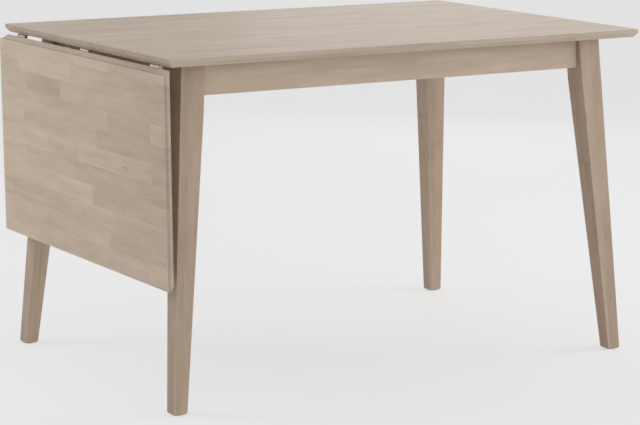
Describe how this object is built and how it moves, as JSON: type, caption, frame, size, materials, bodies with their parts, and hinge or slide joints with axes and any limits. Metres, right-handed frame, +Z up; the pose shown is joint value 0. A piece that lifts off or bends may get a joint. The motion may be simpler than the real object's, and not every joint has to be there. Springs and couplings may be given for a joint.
{
  "type": "drop leaf table",
  "caption": "Rectangular wooden table on splayed, tapered legs, with a full-width leaf hinged to one end that hangs down and swings up on slotted steel stays.",
  "frame": {"origin": "on the floor, under the middle of the bounding box with the leaf hanging", "axes": "+X along the table, away from the leaf; +Y across it; +Z up"},
  "size_m": [1.2138, 0.8, 0.745],
  "materials": {
    "top_wood": "white-pigmented oil on solid staved wood, grain along the table",
    "leaf_wood": "white-pigmented oil on short finger-jointed staves, grain across the table",
    "leg_wood": "white-pigmented oil, grain along the leg",
    "apron_wood": "white-pigmented oil, grain along the board",
    "rail_wood": "planed wood, thinly oiled",
    "dowel_wood": "turned hardwood, glued in",
    "hinge_steel": "nickel-plated sheet steel",
    "stay_steel": "zinc-plated sheet steel",
    "rivet_steel": "bright zinc-plated steel",
    "plated_steel": "zinc-plated steel",
    "screw_steel": "yellowish zinc-plated steel",
    "glide_plastic": "pale nylon"
  },
  "bodies": {
    "frame": {"table_top": "top_wood", "middle_rail": "rail_wood", "rail_dowels": "dowel_wood", "front_apron": "apron_wood", "back_apron": "apron_wood", "leaf_end_apron": "apron_wood", "far_end_apron": "apron_wood", "leg_front_left": "leg_wood", "leg_front_right": "leg_wood", "leg_back_left": "leg_wood", "leg_back_right": "leg_wood", "corner_plate_front_left": "plated_steel", "corner_plate_front_right": "plated_steel", "corner_plate_back_left": "plated_steel", "corner_plate_back_right": "plated_steel", "top_hinge_plate_front": "hinge_steel", "hinge_pin_front": "hinge_steel", "top_hinge_plate_middle": "hinge_steel", "hinge_pin_middle": "hinge_steel", "top_hinge_plate_back": "hinge_steel", "hinge_pin_back": "hinge_steel", "stay_bracket_front": "stay_steel", "stay_pivot_front": "rivet_steel", "stay_bracket_back": "stay_steel", "stay_pivot_back": "rivet_steel", "leg_bolts": "plated_steel", "leg_bolt_washers": "plated_steel", "leg_bolt_nuts": "plated_steel", "top_brackets": "plated_steel", "top_bracket_screws": "screw_steel", "top_hinge_screws": "screw_steel", "stay_bracket_screws": "screw_steel", "corner_plate_screws": "screw_steel", "stay_friction_washers": "rivet_steel", "floor_glides": "glide_plastic"},
    "leaf": {"drop_leaf": "leaf_wood", "leaf_hinge_plate_front": "hinge_steel", "leaf_hinge_plate_middle": "hinge_steel", "leaf_hinge_plate_back": "hinge_steel", "leaf_hinge_screws": "screw_steel", "stay_guide_front": "stay_steel", "stay_guide_back": "stay_steel", "stay_guide_screws": "screw_steel"},
    "stay_arm_front": {"stay_arm_front": "stay_steel", "stay_tip_pin_front": "rivet_steel"},
    "stay_arm_back": {"stay_arm_back": "stay_steel", "stay_tip_pin_back": "rivet_steel"}
  },
  "joints": [
    {"name": "leaf_hinge", "type": "hinge", "parent": "frame", "child": "leaf", "pos_m": [-0.58457, 0, 0.7225], "axis": [0, 1, 0], "range_deg": [0, 90.9]},
    {"name": "stay_swing_front", "type": "hinge", "parent": "frame", "child": "stay_arm_front", "pos_m": [-0.55057, -0.2, 0.6705], "axis": [0, 1, 0], "range_deg": [0, 95.5]},
    {"name": "stay_swing_back", "type": "hinge", "parent": "frame", "child": "stay_arm_back", "pos_m": [-0.55057, 0.2, 0.6705], "axis": [0, 1, 0], "range_deg": [0, 95.5]}
  ],
  "couplings": [
    {"joint": "stay_swing_front", "follows": "leaf_hinge", "ratio": 1.05},
    {"joint": "stay_swing_back", "follows": "leaf_hinge", "ratio": 1.05}
  ]
}
